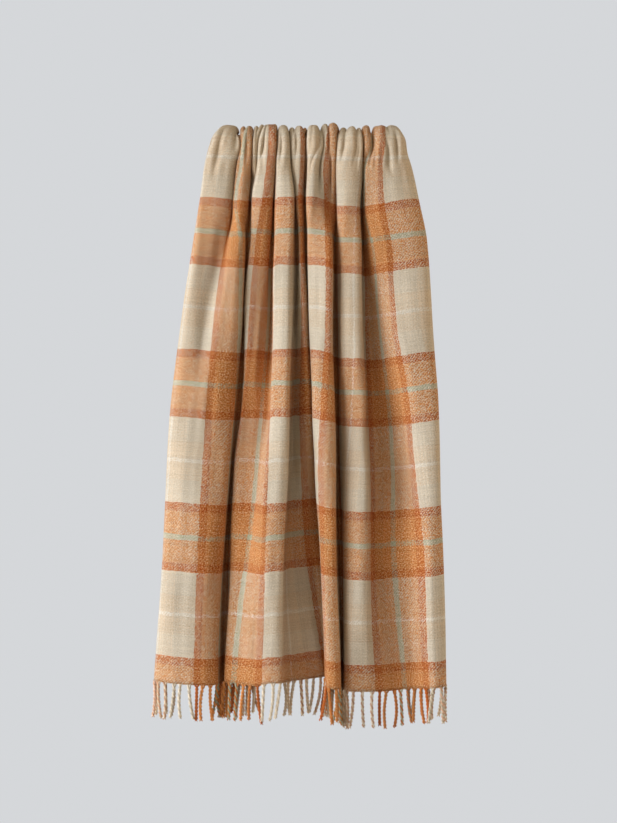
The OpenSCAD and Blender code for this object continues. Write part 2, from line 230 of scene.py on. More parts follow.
        (365, -116, 41), (374, -113, 45), (390, -100, 46), (411, -80, 45), (424, -74, 50),
        (438, -69, 62), (452, -64, 74), (464, -59, 80), (478, -48, 86), (490, -38.5, 88),
        (500, -31, 85), (509, -30, 73), (520, -31, 60), (532, -32, 44), (546, -30, 34),
        (565, -23, 27), (582, -17, 28), (598, -9, 36), (610, -1, 40), (621, 6, 37), (630, 11, 29),
        (640, 13, 20), (648, 16, 16), (656, 18, 20), (684, 18, 40), (691, 20, 42), (698, 22, 39),
        (730, 26, 19), (740, 29, 15), (750, 31, 20), (812, 15, 54), (826, 14, 62), (833, 16, 69),
        (845, 23, 77), (856, 30, 82), (866, 38, 82), (875, 41.5, 72), (884, 43, 60), (912, 44, 27),
        (922, 47, 18), (934, 52, 24), (990, 57, 46), (1006, 59, 52), (1016, 64, 58),
        (1029, 73, 64), (1042, 83, 70), (1053, 92, 71), (1062, 96, 63), (1072, 98, 50),
        (1084, 103, 36), (1098, 112, 33), (1114, 124, 33), (1132, 136, 34), (1150, 149, 37),
        (1166, 160, 47), (1183, 170, 60), (1197, 181, 70), (1207, 191, 76), (1217, 201, 76),
        (1228, 209, 67), (1241, 207, 53), (1266, 179, 38), (1300, 147, 25)]),
    (627, [
        (0, -196, 42), (24, -217, 46), (44, -228, 56), (58, -221, 66), (88, -196, 74),
        (117, -170, 76), (140, -149, 71), (155, -136, 62), (162, -132, 52), (200, -129, 22),
        (208, -126, 17), (216, -123, 21), (236, -120, 34), (243, -117, 36), (250, -114, 33),
        (272, -108, 18), (280, -103, 15), (306, -84, 15), (316, -80, 21), (362, -118, 40),
        (374, -122, 43), (382, -118, 47), (395, -106, 50), (411, -90, 53), (430, -80, 65),
        (448, -71, 78), (463, -64, 85), (479, -51, 90), (491, -41, 89), (499, -36, 82),
        (509, -37, 67), (522, -35, 54), (550, -29, 43), (578, -17, 33), (602, -3, 26),
        (620, 10, 20), (630, 18, 16), (640, 22, 19), (676, 22, 44), (684, 24, 47), (692, 27, 43),
        (730, 31, 19), (740, 34, 15), (750, 36, 20), (818, 20, 58), (832, 20, 66), (840, 22, 72),
        (851, 28, 79), (860, 34, 82), (869, 42, 81), (878, 45.5, 70), (915, 48, 27), (925, 50, 18),
        (936, 54, 24), (1000, 58, 48), (1018, 61, 54), (1028, 66, 61), (1041, 75, 66),
        (1054, 84, 70), (1066, 94, 67), (1078, 99, 56), (1092, 108, 47), (1110, 121, 43),
        (1132, 139, 38), (1154, 158, 41), (1170, 170, 51), (1183, 181, 62), (1197, 193, 72),
        (1211, 206, 70), (1221, 213, 59), (1232, 209, 49), (1262, 184, 38), (1300, 150, 26)]),
    (850, [
        (0, -205, 44), (25, -228, 48), (45, -239, 58), (60, -231, 69), (90, -205, 77),
        (117, -178, 79), (142, -156, 75), (158, -143, 67), (166, -139, 56), (203, -136, 22),
        (211, -133, 17), (219, -129, 22), (240, -125, 35), (247, -122, 38), (254, -119, 34),
        (276, -113, 19), (284, -108, 15), (312, -88, 15), (322, -84, 22), (380, -124, 44),
        (390, -128, 50), (398, -124, 55), (411, -112, 61), (440, -90, 72), (463, -72, 79),
        (482, -56, 84), (493, -46, 83), (500, -40, 77), (508, -38, 69), (530, -26, 57),
        (565, 0, 40), (597, 24, 24), (606, 29, 20), (614, 32, 17), (622, 31, 22), (665, 30, 48),
        (674, 32, 51), (683, 35, 47), (725, 38, 20), (735, 41, 16), (746, 43, 21), (825, 29, 60),
        (840, 29, 68), (849, 30, 76), (860, 36, 84), (869, 44, 84), (877, 49.5, 77), (886, 52, 66),
        (925, 54, 27), (935, 55, 18), (945, 58, 24), (1005, 58, 46), (1022, 59, 54),
        (1030, 62, 60), (1042, 71, 66), (1055, 84, 67), (1077, 107, 62), (1105, 131, 50),
        (1130, 152, 43), (1150, 169, 45), (1167, 181, 55), (1183, 192, 67), (1195, 202, 75),
        (1208, 214, 71), (1215, 219, 61), (1226, 215, 51), (1260, 188, 39), (1300, 154, 27)]),
]

# The lobes bulge near the rung. For each height: how much further out they stand than the points
# listed above, the d past which that starts, and over how much more d it grows to the full.
BULGE = {-ARCH: (4, 20, 6), 0: (3, 22, 8), 36: (6, 22, 8), 91: (6, 22, 8)}


def bulged(h, points):
    """The points of the section at height h with its lobes standing out further."""
    out, start, reach = BULGE.get(h, (0, 0, 1))
    return [(s, x, d + out * min(1, max(0, (d - start) / reach))) for s, x, d in points]


# Cloth hidden between the lobes near the rung lies doubled under them. For each height: the
# stretch of s tucked away, and how far it reaches under the lobe on its left and on its right.
TUCKS = {
    -ARCH: [(90, 145, 16, 6), (192, 275, 9, 6), (390, 450, 14, 7), (498, 545, 7, 8),
            (636, 745, 8, 10), (884, 932, 12, 8), (1018, 1080, 5, 10)],
    0: [(116, 148, 16, 6), (202, 275, 8, 5), (385, 450, 14, 8), (505, 555, 8, 6),
        (616, 745, 9, 12), (878, 930, 8, 8), (1018, 1085, 12, 9)],
    36: [(122, 144, 14, 6), (214, 262, 9, 4), (382, 440, 14, 9), (515, 556, 9, 7),
         (616, 755, 8, 10), (884, 938, 6, 14), (1028, 1100, 12, 9)],
}


def tucked(points, tucks, near=17, far=19.8):
    """The section with each hidden stretch laid left, back, right and back, from near to far."""
    for start, end, left, right in tucks:
        x0, x1 = np.interp((start, end), *np.array(points, float).T[:2])
        path = np.array([
            (x0, far + 0.2), (x0 - 0.4 * left, far), (x0 - 0.9 * left, far - 0.2),
            (x0 - left, (near + far) / 2), (x0 - 0.9 * left, near), ((x0 + x1) / 2, near),
            (x1 + 0.9 * right, near), (x1 + right, (near + far) / 2),
            (x1 + 0.9 * right, far - 0.2), (x1 + 0.4 * right, far), (x1, far + 0.2),
        ])
        run = np.concatenate([[0], np.cumsum(np.hypot(*np.diff(path, axis=0).T))])
        places = start + (end - start) * run / run[-1]
        points = sorted([p for p in points if not start < p[0] < end] + [
            (s, x, d) for s, (x, d) in zip(places[1:-1], path[1:-1])
        ])
    return points


# Short creases pinched into the lobes where the front drop leaves the rung: s, how far below the
# rung's axis they start and end, how far they lean, their width and their depth.
CREASES = [
    (68, -26, 40, 0.20, 5, 4.5), (342, -30, 46, -0.15, 5, 7), (478, -26, 34, 0.10, 4, 4),
    (800, -26, 42, -0.15, 4.5, 4.5), (988, -28, 44, 0.10, 4.5, 5.5), (1188, -30, 62, 0.30, 5.5, 6),
    (1212, -24, 34, 0.15, 4, 3.5),
]

# How much higher or lower than level the weft hangs across the front, mm at places s.
WEFT_RISE = [
    (0, 4), (50, 3), (117, -1), (165, -3), (340, 2), (400, 0), (455, -3), (480, 2), (510, 2),
    (597, 5), (620, 6), (740, 2), (800, 2), (820, 1), (860, -6), (985, -12), (1040, -13),
    (1090, -14), (1130, -12), (1183, -8), (1215, -4), (1240, -1), (1300, 0),
]

# The back drop: where each pleat's edges are on the cloth, s. Then for each height: the pleats
# (left x, right x, crest d), the d of the folds between them, and how far a fold's hidden cloth
# reaches under the pleats beside it.
BACK_EDGES = [(60, 136), (264, 324), (452, 518), (646, 702), (830, 880), (1008, 1050), (1178, 1240)]
BACK = [
    (74, [(-152, -106, 36), (-95, -62, 35), (-52, -18, 37), (-8, 24, 35), (34, 62, 37),
          (72, 102, 35), (113, 156, 37)], 17, 12),
    (222, [(-184, -126, 57), (-116, -74, 53), (-64, -20, 59), (-10, 34, 53), (44, 84, 59),
           (94, 128, 53), (138, 184, 57)], 18, 13),
    (444, [(-202, -138, 69), (-126, -80, 61), (-68, -16, 71), (-4, 42, 61), (54, 96, 71),
           (106, 140, 59), (152, 204, 67)], 18, 12),
    (740, [(-214, -146, 75), (-132, -82, 65), (-68, -10, 77), (4, 52, 65), (66, 108, 77),
           (120, 154, 63), (166, 218, 73)], 20, 9),
]


def back_section(pleats, fold, reach):
    """Section points of one height of the back drop: pleats, and folds tucked under them."""
    first, last = pleats[0], pleats[-1]
    points = [(0, first[0] + 34, first[2] - 24), (30, first[0] + 12, first[2] - 19)]
    tucks = []
    for i, ((left, right, d), (a, b)) in enumerate(zip(pleats, BACK_EDGES)):
        step = min(14, 0.45 * (d - fold))
        points += [
            (a - 4, left, d - step), (a + 0.22 * (b - a), left + 0.2 * (right - left), d - 2),
            (a + 0.5 * (b - a), (left + right) / 2, d),
            (a + 0.78 * (b - a), left + 0.8 * (right - left), d - 2), (b + 4, right, d - step),
        ]
        if i + 1 < len(pleats):
            next_a, x = BACK_EDGES[i + 1][0], (right + pleats[i + 1][0]) / 2
            share = 1 / (1 + 4 * reach / (2 * (d - step - fold - 5) + pleats[i + 1][0] - right))
            wall = share * (next_a - b - 8) / 2
            points += [(b + wall + 4, x - 1.6, fold + 5), (next_a - wall - 4, x + 1.6, fold + 5)]
            tucks.append((b + wall + 4, next_a - wall - 4, reach, reach))
    points += [(1270, last[1] - 12, last[2] - 19), (1300, last[1] - 34, last[2] - 24)]
    return tucked(points, tucks, fold, fold + 3)


# ---------------------------------------------------------------- smooth lines


def slopes(x, y):
    """Slopes for a smooth line through points that doesn't overshoot them. y may be 2-D."""
    h = np.diff(x)
    if y.ndim == 2:
        h = h[:, None]
    rate = np.diff(y, axis=0) / h
    m = np.zeros_like(y)
    a, b = rate[:-1], rate[1:]
    w1, w2 = 2 * h[1:] + h[:-1], h[1:] + 2 * h[:-1]
    same = a * b > 0
    safe_a, safe_b = np.where(same, a, 1), np.where(same, b, 1)
    m[1:-1] = np.where(same, (w1 + w2) / (w1 / safe_a + w2 / safe_b), 0)
    m[0], m[-1] = rate[0], rate[-1]
    return m


def smooth(x, y, at):
    """Values at the places `at` of the smooth line through (x, y)."""
    x, y, at = np.asarray(x, float), np.asarray(y, float), np.asarray(at, float)
    m = slopes(x, y)
    k = np.clip(np.searchsorted(x, at, side="right") - 1, 0, len(x) - 2)
    h = x[k + 1] - x[k]
    f = (at - x[k]) / h
    if y.ndim == 2:
        h, f = h[:, None], f[:, None]
    f2, f3 = f * f, f * f * f
    return (
        (2 * f3 - 3 * f2 + 1) * y[k] + (f3 - 2 * f2 + f) * h * m[k]
        + (3 * f2 - 2 * f3) * y[k + 1] + (f3 - f2) * h * m[k + 1]
    )


def blur(rows, width):
    """Rows of points blurred along the row by a bell of this many columns, more than 0."""
    r = int(3 * width) + 1
    bell = np.exp(-0.5 * (np.arange(-r, r + 1) / width) ** 2)
    bell /= bell.sum()
    # Ends are extended in a straight line, so that the side edges stay where they are.
    left = 2 * rows[:, :1] - rows[:, r:0:-1]
    right = 2 * rows[:, -1:] - rows[:, -2 : -r - 2 : -1]
    wide = np.concatenate([left, rows, right], axis=1)
    out = np.zeros_like(rows)
    for i, w in enumerate(bell):
        out += w * wide[:, i : i + rows.shape[1]]
    return out


COLUMN = 2.0  # mm of cloth from one column of the mesh to the next
FINE_ROW, FINE_TO, LOWER_ROWS = 3.5, 160, 100  # row spacing down to FINE_TO mm, then rows to the hem
S = np.arange(0, CLOTH_W + COLUMN / 2, COLUMN)


def section_line(points):
    """(x, d) of a section at every column of the cloth."""
    p = np.array(points, float)
    chord = np.hypot(*np.diff(p[:, 1:], axis=0).T)
    u = np.concatenate([[0], np.cumsum(np.sqrt(chord * np.diff(p[:, 0])))])
    fine = np.linspace(0, u[-1], 3000)
    line = smooth(u, p[:, 1:], fine)
    run = np.concatenate([[0], np.cumsum(np.hypot(*np.diff(line, axis=0).T))])
    place = smooth(np.interp(u, fine, run), p[:, 0], run)
    return np.stack([np.interp(S, place, line[:, i]) for i in (0, 1)], axis=1)


# ---------------------------------------------------------------- slow unevenness


def waves(seed, s, t, size_s, size_t, count=14):
    """Smooth seeded unevenness from -1 to 1 or so, with features of about these sizes in mm."""
    rng = random.Random(seed)
    total = np.zeros(np.broadcast(s, t).shape)
    for _ in range(count):
        a, b = rng.uniform(0.5, 1.5) / size_s, rng.uniform(-1.2, 1.2) / size_t
        total += math.sqrt(2 / count) * np.cos(2 * math.pi * (a * s + b * t + rng.random()))
    return total


def sheet_grid(levels, drop, side, seed):
    """Points and cloth places of one side's sheet: rows run from the top of the rung to the hem.

    side is -1 for the front and 1 for the back. v is how far below the rung's axis a row hangs,
    and less than 0 on the arch over the rung.
    """
    heights = np.array([-ARCH] + [h for h, _ in levels], float)
    top = tucked(bulged(-ARCH, TOP), TUCKS[-ARCH], far=22)
    sections = np.array([section_line(p) for p in [top] + [p for _, p in levels]])
    down = np.concatenate([np.arange(-ARCH, FINE_TO, FINE_ROW), np.linspace(FINE_TO, drop, LOWER_ROWS)])
    flat = smooth(heights, sections.reshape(len(heights), -1), down)
    rows = blur(flat.reshape(len(down), len(S), 2), 1.3)
    s, v = S[None, :], down[:, None]
    ease = np.clip(v / 200, 0, 1) ** 2
    x = rows[:, :, 0] + ease * 1.6 * waves(seed, s, v, 170, 420)
    d = rows[:, :, 1] + ease * 1.6 * waves(seed + 1, s, v, 120, 300)
    d += np.clip(v / 60 + 0.4, 0, 1) * 0.35 * waves(seed + 2, s, v, 34, 170)
    d += 0.9 * np.exp(-(((v - 12) / 34) ** 2)) * waves(seed + 4, s, v, 24, 75)
    if side > 0:
        rise = 3 * waves(seed + 3, s, v, 500, 2000) * np.clip(v / 80, 0, 1)
    else:
        rise = smooth(*np.array(WEFT_RISE, float).T, S)[None, :] * np.clip(v / 80, 0, 1)
        for place, start, end, lean, width, depth in CREASES:
            fade = np.sin(math.pi * np.clip((v - start) / (end - start), 0, 1)) ** 2
            d -= depth * fade * np.exp(-(((s - place - lean * v) / width) ** 2))
    turn = np.clip(-v / ARCH, 0, 1) * math.pi / 2
    y = side * d * np.cos(turn)
    z = np.where(v < 0, d * np.sin(turn), -v + rise)
    t = drop - v if side < 0 else CLOTH_L - (drop - v)
    return np.stack([x, y, z], axis=2), np.broadcast_to(s, x.shape), np.broadcast_to(t, x.shape)


front_points, front_s, front_t = sheet_grid(
    [(h, tucked(bulged(h, p), TUCKS.get(h, []))) for h, p in FRONT], FRONT_DROP, -1, 11
)
back_points, back_s, back_t = sheet_grid(
    [(h, back_section(p, f, r)) for h, p, f, r in BACK], BACK_DROP, 1, 41
)

# ---------------------------------------------------------------- meshes


def new_mesh(name, points_mm, faces, places_mm):
    """A mesh object in metres, with each corner's place on the flat cloth in the UV map "cloth"."""
    mesh = bpy.data.meshes.new(name)
    faces = np.asarray(faces, np.int32)
    count, corners = faces.shape
    mesh.vertices.add(len(points_mm))
    mesh.vertices.foreach_set("co", (np.asarray(points_mm) * MM).astype(np.float32).ravel())
    mesh.loops.add(count * corners)
    mesh.loops.foreach_set("vertex_index", faces.ravel())
    mesh.polygons.add(count)
    mesh.polygons.foreach_set("loop_start", np.arange(0, count * corners, corners, dtype=np.int32))
    mesh.update(calc_edges=True)
    mesh.polygons.foreach_set("use_smooth", np.full(count, True))
    layer = mesh.uv_layers.new(name="cloth")
    layer.data.foreach_set("uv", (np.asarray(places_mm) * MM).astype(np.float32)[faces.ravel()].ravel())
    mesh.validate()
    obj = bpy.data.objects.new(name, mesh)
    bpy.context.scene.collection.objects.link(obj)
    return obj


def grid_faces(rows, columns, flip):
    a = (np.arange(rows - 1)[:, None] * columns + np.arange(columns - 1)[None, :]).ravel()
    quad = np.stack([a, a + columns, a + columns + 1, a + 1], axis=1)
    return quad[:, ::-1] if flip else quad


def cloth_sheet(name, points, s, t, flip):
    rows, columns = s.shape
    places = np.stack([s, t], axis=2).reshape(-1, 2)
    obj = new_mesh(name, points.reshape(-1, 3), grid_faces(rows, columns, flip), places)
    thick = obj.modifiers.new("thickness", "SOLIDIFY")
    thick.thickness = CLOTH_T * MM
    thick.offset = 0
    return obj


front_sheet = cloth_sheet("throw_front_cloth", front_points, front_s, front_t, False)
back_sheet = cloth_sheet("throw_back_cloth", back_points, back_s, back_t, True)

# ---------------------------------------------------------------- tassels

TASSEL_COUNTS = [9 if i in (0, 10) else 8 if i % 2 else 10 for i in range(11)]
PLY_R, PLY_APART = 1.6, 1.45  # radius of one ply, and of the circle its centre runs on
TWIST_PITCH = 12  # mm down for one turn of the plies
PLY_SHIFT = 3.5  # the two plies come from the left and right halves of a tassel's warp threads
RINGS, SIDES = 30, 7
TASSEL_L, TASSEL_SPREAD, TASSEL_MAX = 60, 2.5, 65  # mean length, its normal spread, the longest
YARN_STEP = 90  # mm of yarn between the patterns of neighbouring tassels


def stripe_span(n):
    """Where warp stripe n starts and ends across the cloth."""
    start = 0 if n == 0 else EDGE_W + (n // 2) * (ORANGE_W + CREAM_W) - (0 if n % 2 else CREAM_W)
    return start, start + (EDGE_W if n in (0, 10) else ORANGE_W if n % 2 else CREAM_W)


def tassel_points(root, along, length, lean, curl, phase):
    """Rings of both plies of one twisted tassel, which hangs from root on the hem."""
    u = np.linspace(0, 1, RINGS)
    drop = u * length
    path = np.stack([
        root[0] + lean[0] * u**1.5 + curl[0] * np.sin(math.pi * u),
        root[1] + lean[1] * u**1.5 + curl[1] * np.sin(math.pi * u),
        root[2] - drop + 0.04 * length * u * u,
    ], axis=1)
    spread = np.clip(1 - drop / 6, 0, 1) ** 1.5
    frayed = np.clip((drop - length + 6) / 6, 0, 1)
    turn = phase + 2 * math.pi * np.maximum(drop - 2, 0) / TWIST_PITCH
    out = []
    for ply in (0, 1):
        sign = 1 if ply else -1
        angle = turn + math.pi * ply
        apart = PLY_APART * (1 - spread) + 0.7 * frayed
        centre = path.copy()
        centre[:, 0] += apart * np.cos(angle) + sign * spread * 2.6 * along[0]
        centre[:, 1] += apart * np.sin(angle) + sign * spread * 2.6 * along[1]
        radius = PLY_R * (1 + 0.25 * spread) * (1 - 0.75 * frayed**3)
        around = np.linspace(0, 2 * math.pi, SIDES, endpoint=False)
        ring = np.stack([np.cos(around), np.sin(around), np.zeros(SIDES)], axis=1)
        out.append(centre[:, None, :] + radius[:, None, None] * ring[None])
    return np.array(out).reshape(-1, 3)


def tube_faces(rings, sides, first):
    a = first + np.arange(rings - 1)[:, None] * sides + np.arange(sides)[None, :]
    b = first + np.arange(rings - 1)[:, None] * sides + (np.arange(sides)[None, :] + 1) % sides
    return np.stack([a, a + sides, b + sides, b], axis=2).reshape(-1, 4)


def fringe(side_name, points, seed):
    """The tassels of each warp stripe, one object a stripe."""
    hem, rng, made = points[-1], random.Random(seed), []
    for n in range(11):
        start, end = stripe_span(n)
        count = TASSEL_COUNTS[n]
        verts, faces, places = [], [], []
        for i in range(count):
            s = start + (i + 0.5) * (end - start) / count + rng.uniform(-1.2, 1.2)
            k = min(max(int(round(s / COLUMN)), 1), len(S) - 2)
            along = hem[k + 1, :2] - hem[k - 1, :2]
            along /= np.hypot(*along)
            root = hem[k] + (0, 0, 0.8)
            sway = 4 * waves(seed + 5, np.array([s]), np.array([0.0]), 55, 1)[0]
            lean = (sway + rng.gauss(0, 3.6), rng.gauss(0, 3.5))
            curl = (rng.gauss(0, 1.6), rng.gauss(0, 1.6))
            length = min(rng.gauss(TASSEL_L, TASSEL_SPREAD), TASSEL_MAX)
            ring = tassel_points(root, along, length, lean, curl, rng.uniform(0, 6.28))
            first = sum(len(v) for v in verts)
            for ply in (0, 1):
                faces.append(tube_faces(RINGS, SIDES, first + ply * RINGS * SIDES))
            verts.append(ring)
            shade = np.full((len(ring), 2), (s, 0.0))
            shade[:, 0] += np.repeat([-PLY_SHIFT, PLY_SHIFT], len(ring) // 2)
            shade[:, 1] += np.tile(np.repeat(np.linspace(0, length, RINGS), SIDES), 2)
            shade[:, 1] += i * YARN_STEP
            places.append(shade)
        name = f"{side_name}_tassels_{n + 1:02d}"
        obj = new_mesh(name, np.concatenate(verts), np.concatenate(faces), np.concatenate(places))
        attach(obj, side_name)
        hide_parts(f"{side_name}_fringe_{n + 1:02d}")
        made.append(obj)
    return made


front_tassels = fringe("front", front_points, 71)
back_tassels = fringe("back", back_points, 72)

# ---------------------------------------------------------------- materials

YARNS = {  # linear colours of the dyed yarns
    "ecru": (0.63, 0.555, 0.44),
    "peach": (0.64, 0.52, 0.38),
    "white": (0.695, 0.645, 0.565),
    "rust": (0.45, 0.125, 0.028),
    "orange": (0.565, 0.24, 0.078),
    "duck": (0.37, 0.375, 0.265),
}
# One repeat of the check, from the start of an orange stripe: where each yarn begins, mm.
REPEAT = ORANGE_W + CREAM_W
SETT = [
    (0, "rust"), (13, "orange"), (48.5, "duck"), (57.5, "orange"), (93, "rust"), (106, "ecru"),
    (143, "peach"), (170.5, "white"), (175.5, "peach"), (203, "ecru"),
]
THREAD = 1.2  # mm from one thread to the next
PLY_STEP = 3.1  # mm of cloth over which tassel yarn keeps one shade


class Nodes:
    """Shorthand for building one material's nodes."""

    def __init__(self, name):
        self.material = bpy.data.materials.new(name)
        self.material.use_nodes = True
        self.tree = self.material.node_tree
        self.shader = self.tree.nodes["Principled BSDF"]

    def add(self, kind, **settings):
        node = self.tree.nodes.new(kind)
        for key, value in settings.items():
            setattr(node, key, value)
        return node

    def link(self, out, into):
        self.tree.links.new(out, into)

    def feed(self, socket, value):
        if isinstance(value, bpy.types.NodeSocket):
            self.link(value, socket)
        else:
            socket.default_value = value

    def math(self, operation, *values):
        node = self.add("ShaderNodeMath", operation=operation)
        for socket, value in zip(node.inputs, values):
            self.feed(socket, value)
        return node.outputs[0]

    def mix(self, factor, a, b, blend="MIX"):
        node = self.add("ShaderNodeMix", data_type="RGBA", blend_type=blend)
        self.feed(node.inputs["Factor"], factor)
        self.feed(node.inputs["A"], a)
        self.feed(node.inputs["B"], b)
        return node.outputs["Result"]

    def blue(self, colour):
        node = self.add("ShaderNodeSeparateColor")
        self.link(colour, node.inputs[0])
        return node.outputs[2]

    def gamma(self, colour, power):
        node = self.add("ShaderNodeGamma")
        self.link(colour, node.inputs[0])
        self.feed(node.inputs[1], power)
        return node.outputs[0]

    def combine(self, x, y, z=0.0):
        node = self.add("ShaderNodeCombineXYZ")
        for socket, value in zip(node.inputs, (x, y, z)):
            self.feed(socket, value)
        return node.outputs[0]

    def noise(self, vector, scale, detail=2.0, roughness=0.5):
        node = self.add("ShaderNodeTexNoise")
        self.link(vector, node.inputs["Vector"])
        node.inputs["Scale"].default_value = scale
        node.inputs["Detail"].default_value = detail
        node.inputs["Roughness"].default_value = roughness
        return node.outputs[0]

    def white(self, vector):
        node = self.add("ShaderNodeTexWhiteNoise", noise_dimensions="2D")
        self.link(vector, node.inputs["Vector"])
        return node.outputs["Value"]

    def sett(self, place):
        """Yarn colour at this many mm past the start of an orange stripe."""
        ramp = self.add("ShaderNodeValToRGB")
        ramp.color_ramp.interpolation = "CONSTANT"
        stops = ramp.color_ramp.elements
        while len(stops) < len(SETT):
            stops.new(0.5)
        for stop, (at, yarn) in zip(stops, SETT):
            stop.position = at / REPEAT
            stop.color = (*YARNS[yarn], 1)
        share = self.math("FRACT", self.math("DIVIDE", place, REPEAT))
        self.link(share, ramp.inputs[0])
        return ramp.outputs[0]


def cloth_places(n):
    """The place on the flat cloth in mm, across and along, from the UV map."""
    uv = n.add("ShaderNodeUVMap", uv_map="cloth")
    split = n.add("ShaderNodeSeparateXYZ")
    n.link(uv.outputs[0], split.inputs[0])
    return n.math("MULTIPLY", split.outputs[0], 1000.0), n.math("MULTIPLY", split.outputs[1], 1000.0)


def finish_wool(n, colour, roughness, sheen):
    n.link(colour, n.shader.inputs["Base Color"])
    n.shader.inputs["Specular IOR Level"].default_value = 0.12
    n.shader.inputs["Sheen Weight"].default_value = sheen
    n.shader.inputs["Sheen Roughness"].default_value = 0.5
    n.shader.inputs["Sheen Tint"].default_value = (1.0, 0.86, 0.70, 1)
    n.link(roughness, n.shader.inputs["Roughness"])


def woven_wool():
    n = Nodes("woven_check_wool")
    across, along = cloth_places(n)
    place = n.combine(across, along)

    # Threads wander a little, so that the twill isn't a perfect grid.
    wander_warp = n.math("MULTIPLY", n.noise(place, 0.035, 3.0, 0.6), 5.0)
    wander_weft = n.math("MULTIPLY", n.noise(n.combine(along, across, 40.0), 0.03, 3.0, 0.6), 5.0)
    warp_at = n.math("DIVIDE", n.math("ADD", across, wander_warp), THREAD)
    weft_at = n.math("DIVIDE", n.math("ADD", along, wander_weft), THREAD)
    warp_no, weft_no = n.math("FLOOR", warp_at), n.math("FLOOR", weft_at)

    # The edges between yarns fall on whole threads.
    def stripes(number, start):
        middle = n.math("MULTIPLY", n.math("ADD", number, 0.5), THREAD)
        return n.sett(n.math("ADD", middle, start - 2.5))

    # Each thread has its own shade, runs of threads differ, and each yarn is uneven along itself.
    def shaded(colour, number, beside, length, salt, amounts):
        own = n.white(n.combine(number, salt))
        streak = n.combine(n.math("MULTIPLY", beside, 0.30), n.math("MULTIPLY", length, 0.006), salt)
        run = n.noise(streak, 1.0)
        slub = n.noise(n.combine(number, n.math("MULTIPLY", length, 0.07), salt), 1.0)
        light = n.math("ADD", n.math("MULTIPLY", own, amounts[0]), n.math("MULTIPLY", run, amounts[1]))
        light = n.math("ADD", light, n.math("MULTIPLY", slub, amounts[2]))
        light = n.math("ADD", light, 1.0 - 0.5 * sum(amounts))
        return n.mix(1.0, colour, n.combine(light, light, light), "MULTIPLY")

    warp = shaded(stripes(warp_no, 2 * REPEAT - EDGE_W), warp_no, across, along, 3.0, (0.20, 0.30, 0.30))
    weft = shaded(
        stripes(weft_no, REPEAT - HEM_W + ORANGE_W), weft_no, along, across, 11.0, (0.18, 0.22, 0.28)
    )

    # Two over, two under, one thread further at each pick. Dyed yarn is fuller than undyed yarn,
    # so a dyed thread spreads over more of a pale one than the other way round.
    def ridge(at):
        return n.math("SINE", n.math("MULTIPLY", n.math("FRACT", at), math.pi))

    def dyed(colour):
        return n.math("ABSOLUTE", n.math("SUBTRACT", n.blue(colour), YARNS["ecru"][2]))

    warp_ridge, weft_ridge = ridge(warp_at), ridge(weft_at)
    fuller = n.math("SUBTRACT", dyed(weft), dyed(warp))
    step = n.math("FLOORED_MODULO", n.math("SUBTRACT", warp_no, weft_no), 4.0)
    over = n.math("MULTIPLY", n.math("GREATER_THAN", step, 1.5), n.math("MULTIPLY_ADD", weft_ridge, 0.1, 0.2))
    # Loose fibres break up the twill: the yarn on top isn't always the one that shows.
    down_rib = n.math("MULTIPLY", n.math("ADD", across, along), 0.7)
    ribs = n.combine(n.math("SUBTRACT", across, along), down_rib, 25.0)
    loose = n.math("MULTIPLY_ADD", n.noise(ribs, 0.55, 2.0, 0.6), 2.3, -0.65)
    shows = n.math("ADD", n.math("ADD", over, loose), n.math("MULTIPLY", fuller, 0.35))
    weft_on_top = n.math("GREATER_THAN", shows, 0.62)
    colour = n.mix(weft_on_top, warp, weft)
    height = n.math("ADD", n.math("MULTIPLY", warp_ridge, n.math("SUBTRACT", 1.0, weft_on_top)),
                    n.math("MULTIPLY", weft_ridge, weft_on_top))
    # Painted shade: each thread's colour darkens towards its edges, where it dips beside the next thread.
    thread_edge_shade = n.math("ADD", n.math("MULTIPLY", height, 0.34), 0.76)
    colour = n.mix(1.0, colour, n.combine(thread_edge_shade, thread_edge_shade, thread_edge_shade), "MULTIPLY")

    # Fibres of several shades are spun into each yarn: fine flecks, and blotches a few mm wide.
    # They show most in the dyed yarns.
    fibres = n.noise(place, 0.9, 4.0, 0.7)
    blotches = n.noise(place, 0.4, 3.0, 0.65)
    patches = n.noise(place, 0.012, 3.0)
    light = n.math("ADD", n.math("MULTIPLY", fibres, 0.42), n.math("MULTIPLY", blotches, 0.24))
    light = n.math("ADD", light, n.math("MULTIPLY_ADD", patches, 0.25, 0.545))
    colour = n.mix(1.0, colour, n.combine(light, light, light), "MULTIPLY")
    flecks = n.noise(n.combine(across, along, 70.0), 0.5, 3.0, 0.7)
    spread = n.math("MULTIPLY_ADD", dyed(colour), 5.0, 1.1)
    depth = n.math("MULTIPLY_ADD", n.math("ADD", n.math("ADD", flecks, blotches), -1.0), spread, 1.0)
    colour = n.gamma(colour, n.math("MAXIMUM", depth, 0.4))
    roughness = n.math("ADD", n.math("MULTIPLY", fibres, 0.22), 0.74)
    finish_wool(n, colour, roughness, 0.10)

    bump = n.add("ShaderNodeBump")
    bump.inputs["Strength"].default_value = 0.7
    bump.inputs["Distance"].default_value = 0.0006
    n.link(n.math("ADD", height, n.math("MULTIPLY", fibres, 1.2)), bump.inputs["Height"])
    n.link(bump.outputs[0], n.shader.inputs["Normal"])
    return n.material


